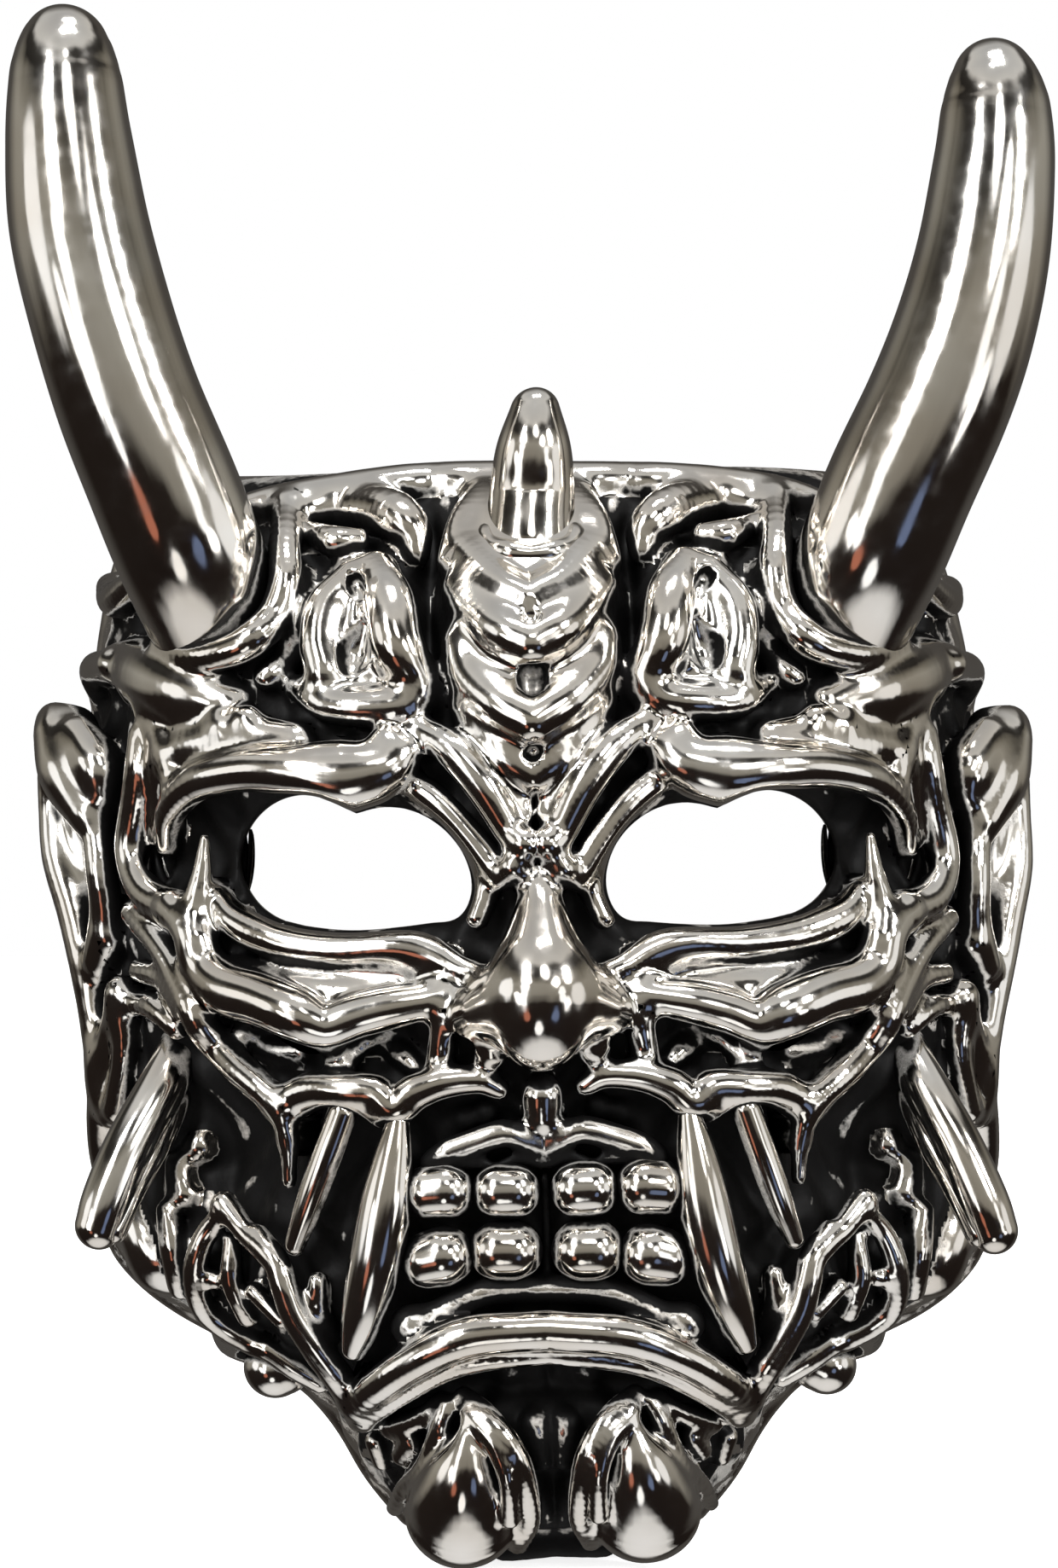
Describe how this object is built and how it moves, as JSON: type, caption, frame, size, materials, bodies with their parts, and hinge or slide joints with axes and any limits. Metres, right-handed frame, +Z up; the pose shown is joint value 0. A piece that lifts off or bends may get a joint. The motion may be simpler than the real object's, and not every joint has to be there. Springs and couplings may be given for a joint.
{
  "type": "noh_mask",
  "caption": "Small cast silver demon mask of the noh kind, with two long horns, a short middle horn, tusks, bared teeth and open eyes, hollow behind a flat rim.",
  "frame": {"origin": "The middle of the flat back rim, which is the plane that the mask is worn or mounted against.", "axes": "+Z up, towards the horn tips; the face looks along -Y, so +Y is the outward normal of the back rim; +X is the right side as seen from the front."},
  "size_m": [0.032, 0.0154, 0.0476],
  "materials": {
    "polished_silver": "mirror polished, with fine scratches and a black patina in the grooves",
    "oxidised_silver": "polished on the high spots, blackened in the recesses"
  },
  "bodies": {
    "root": {"bridge_fold_left": "polished_silver", "bridge_fold_right": "polished_silver", "brow_left": "polished_silver", "brow_right": "polished_silver", "cheekbone_left": "polished_silver", "cheekbone_right": "polished_silver", "chin_boss_left": "polished_silver", "chin_boss_right": "polished_silver", "cord_post_left": "polished_silver", "cord_post_right": "polished_silver", "crest": "polished_silver", "ear_left": "polished_silver", "ear_right": "polished_silver", "face_shell": "oxidised_silver", "forehead_boss_left": "polished_silver", "forehead_boss_right": "polished_silver", "forehead_rim": "polished_silver", "horn_left": "polished_silver", "horn_ridge_left": "polished_silver", "horn_ridge_right": "polished_silver", "horn_right": "polished_silver", "jaw_tendon_left": "polished_silver", "jaw_tendon_right": "polished_silver", "long_fang_left": "polished_silver", "long_fang_right": "polished_silver", "lower_gum": "oxidised_silver", "lower_lid_left": "polished_silver", "lower_lid_right": "polished_silver", "lower_lip": "polished_silver", "lower_middle_tooth_left": "polished_silver", "lower_middle_tooth_right": "polished_silver", "lower_side_tooth_left": "polished_silver", "lower_side_tooth_right": "polished_silver", "middle_horn": "polished_silver", "middle_horn_collar": "polished_silver", "nose": "polished_silver", "nostril_left": "polished_silver", "nostril_right": "polished_silver", "short_fang_left": "polished_silver", "short_fang_right": "polished_silver", "smile_fold_left": "polished_silver", "smile_fold_right": "polished_silver", "temple_ridge_left": "polished_silver", "temple_ridge_right": "polished_silver", "tusk_left": "polished_silver", "tusk_right": "polished_silver", "upper_gum": "oxidised_silver", "upper_lip_left": "polished_silver", "upper_lip_right": "polished_silver", "upper_middle_tooth_left": "polished_silver", "upper_middle_tooth_right": "polished_silver", "upper_side_tooth_left": "polished_silver", "upper_side_tooth_right": "polished_silver"}
  },
  "joints": []
}
